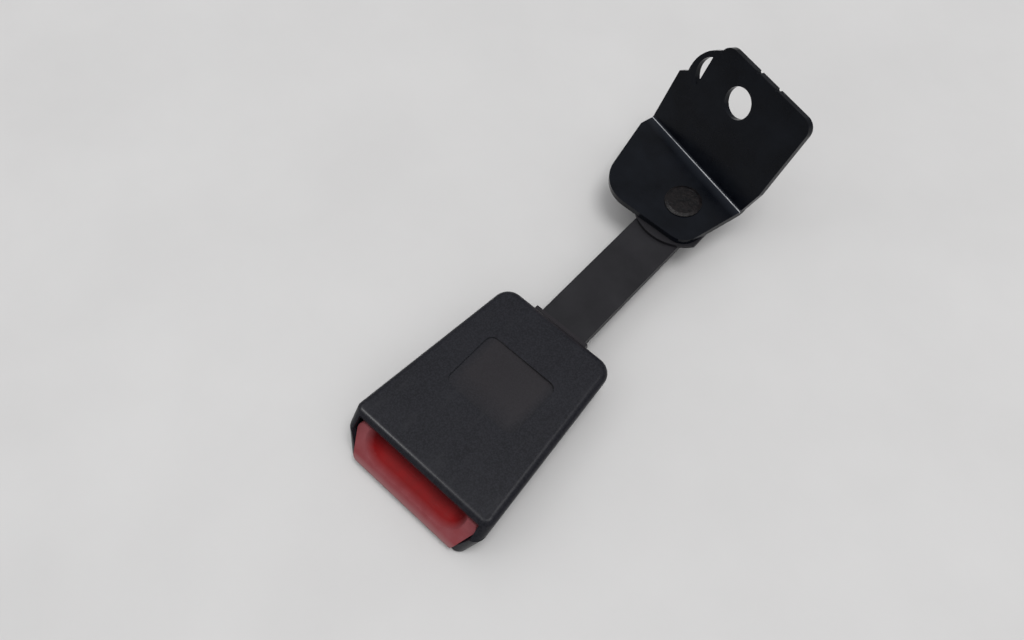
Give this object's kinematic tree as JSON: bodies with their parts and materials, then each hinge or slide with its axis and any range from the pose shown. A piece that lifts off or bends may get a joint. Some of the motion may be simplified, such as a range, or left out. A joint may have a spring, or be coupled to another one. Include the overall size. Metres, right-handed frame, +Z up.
{
  "type": "seat belt buckle",
  "caption": "Black seat belt buckle with a red release button, on a flat steel stalk that swivels on a bent anchor bracket.",
  "frame": {"origin": "centre of the anchor bolt hole, at mid thickness of the raised flange", "axes": "+Z up as the part lies on a table, -Y along the strap from the swivel rivet to the buckle mouth, +X to the right seen from the mouth side"},
  "size_m": [0.0635, 0.1833, 0.0558],
  "materials": {
    "cover_plastic": "fine moulded grain, black",
    "button_plastic": "satin red, worn",
    "bracket_paint": "black dip paint, semi-gloss",
    "strap_paint": "matte black paint",
    "rivet_paint": "black paint worn to brown",
    "frame_steel": "zinc plated",
    "spring_steel": "oiled spring steel",
    "nylon": "natural nylon"
  },
  "bodies": {
    "anchor": {"bracket": "bracket_paint", "swivel_rivet": "rivet_paint", "upper_disc": "strap_paint", "lower_disc": "strap_paint", "cone_washer": "spring_steel", "backing_washer": "frame_steel"},
    "stalk": {"upper_cover": "cover_plastic", "lower_cover": "cover_plastic", "button_spring_left": "spring_steel", "button_spring_right": "spring_steel", "latch_spring": "spring_steel", "ejector_spring": "spring_steel", "frame": "frame_steel", "latch_pin": "frame_steel", "pivot_bush": "nylon", "strap": "strap_paint", "strap_rivets": "frame_steel"},
    "button": {"release_button": "button_plastic"},
    "latch": {"latch": "frame_steel"},
    "ejector": {"ejector": "nylon"}
  },
  "joints": [
    {"name": "stalk_swivel", "type": "hinge", "parent": "anchor", "child": "stalk", "pos_m": [0.00281, -0.02892, -0.033], "axis": [0, 0, 1], "range_deg": [-60, 60]},
    {"name": "button_press", "type": "slide", "parent": "stalk", "child": "button", "axis": [0, 1, 0], "range_m": [0, 0.005], "stiffness_N_per_m": 1500, "deforming": ["button_spring_left", "button_spring_right"]},
    {"name": "latch_swing", "type": "hinge", "parent": "stalk", "child": "latch", "pos_m": [0.00281, -0.12292, -0.0364], "axis": [1, 0, 0], "range_deg": [0, 12], "stiffness_Nm_per_rad": 0.04, "deforming": ["latch_spring"]},
    {"name": "ejector_slide", "type": "slide", "parent": "stalk", "child": "ejector", "axis": [0, 1, 0], "range_m": [0, 0.01], "stiffness_N_per_m": 400, "deforming": ["ejector_spring"]}
  ],
  "couplings": [
    {"joint": "latch_swing", "follows": "button_press", "rad_per_m": 41.884}
  ]
}
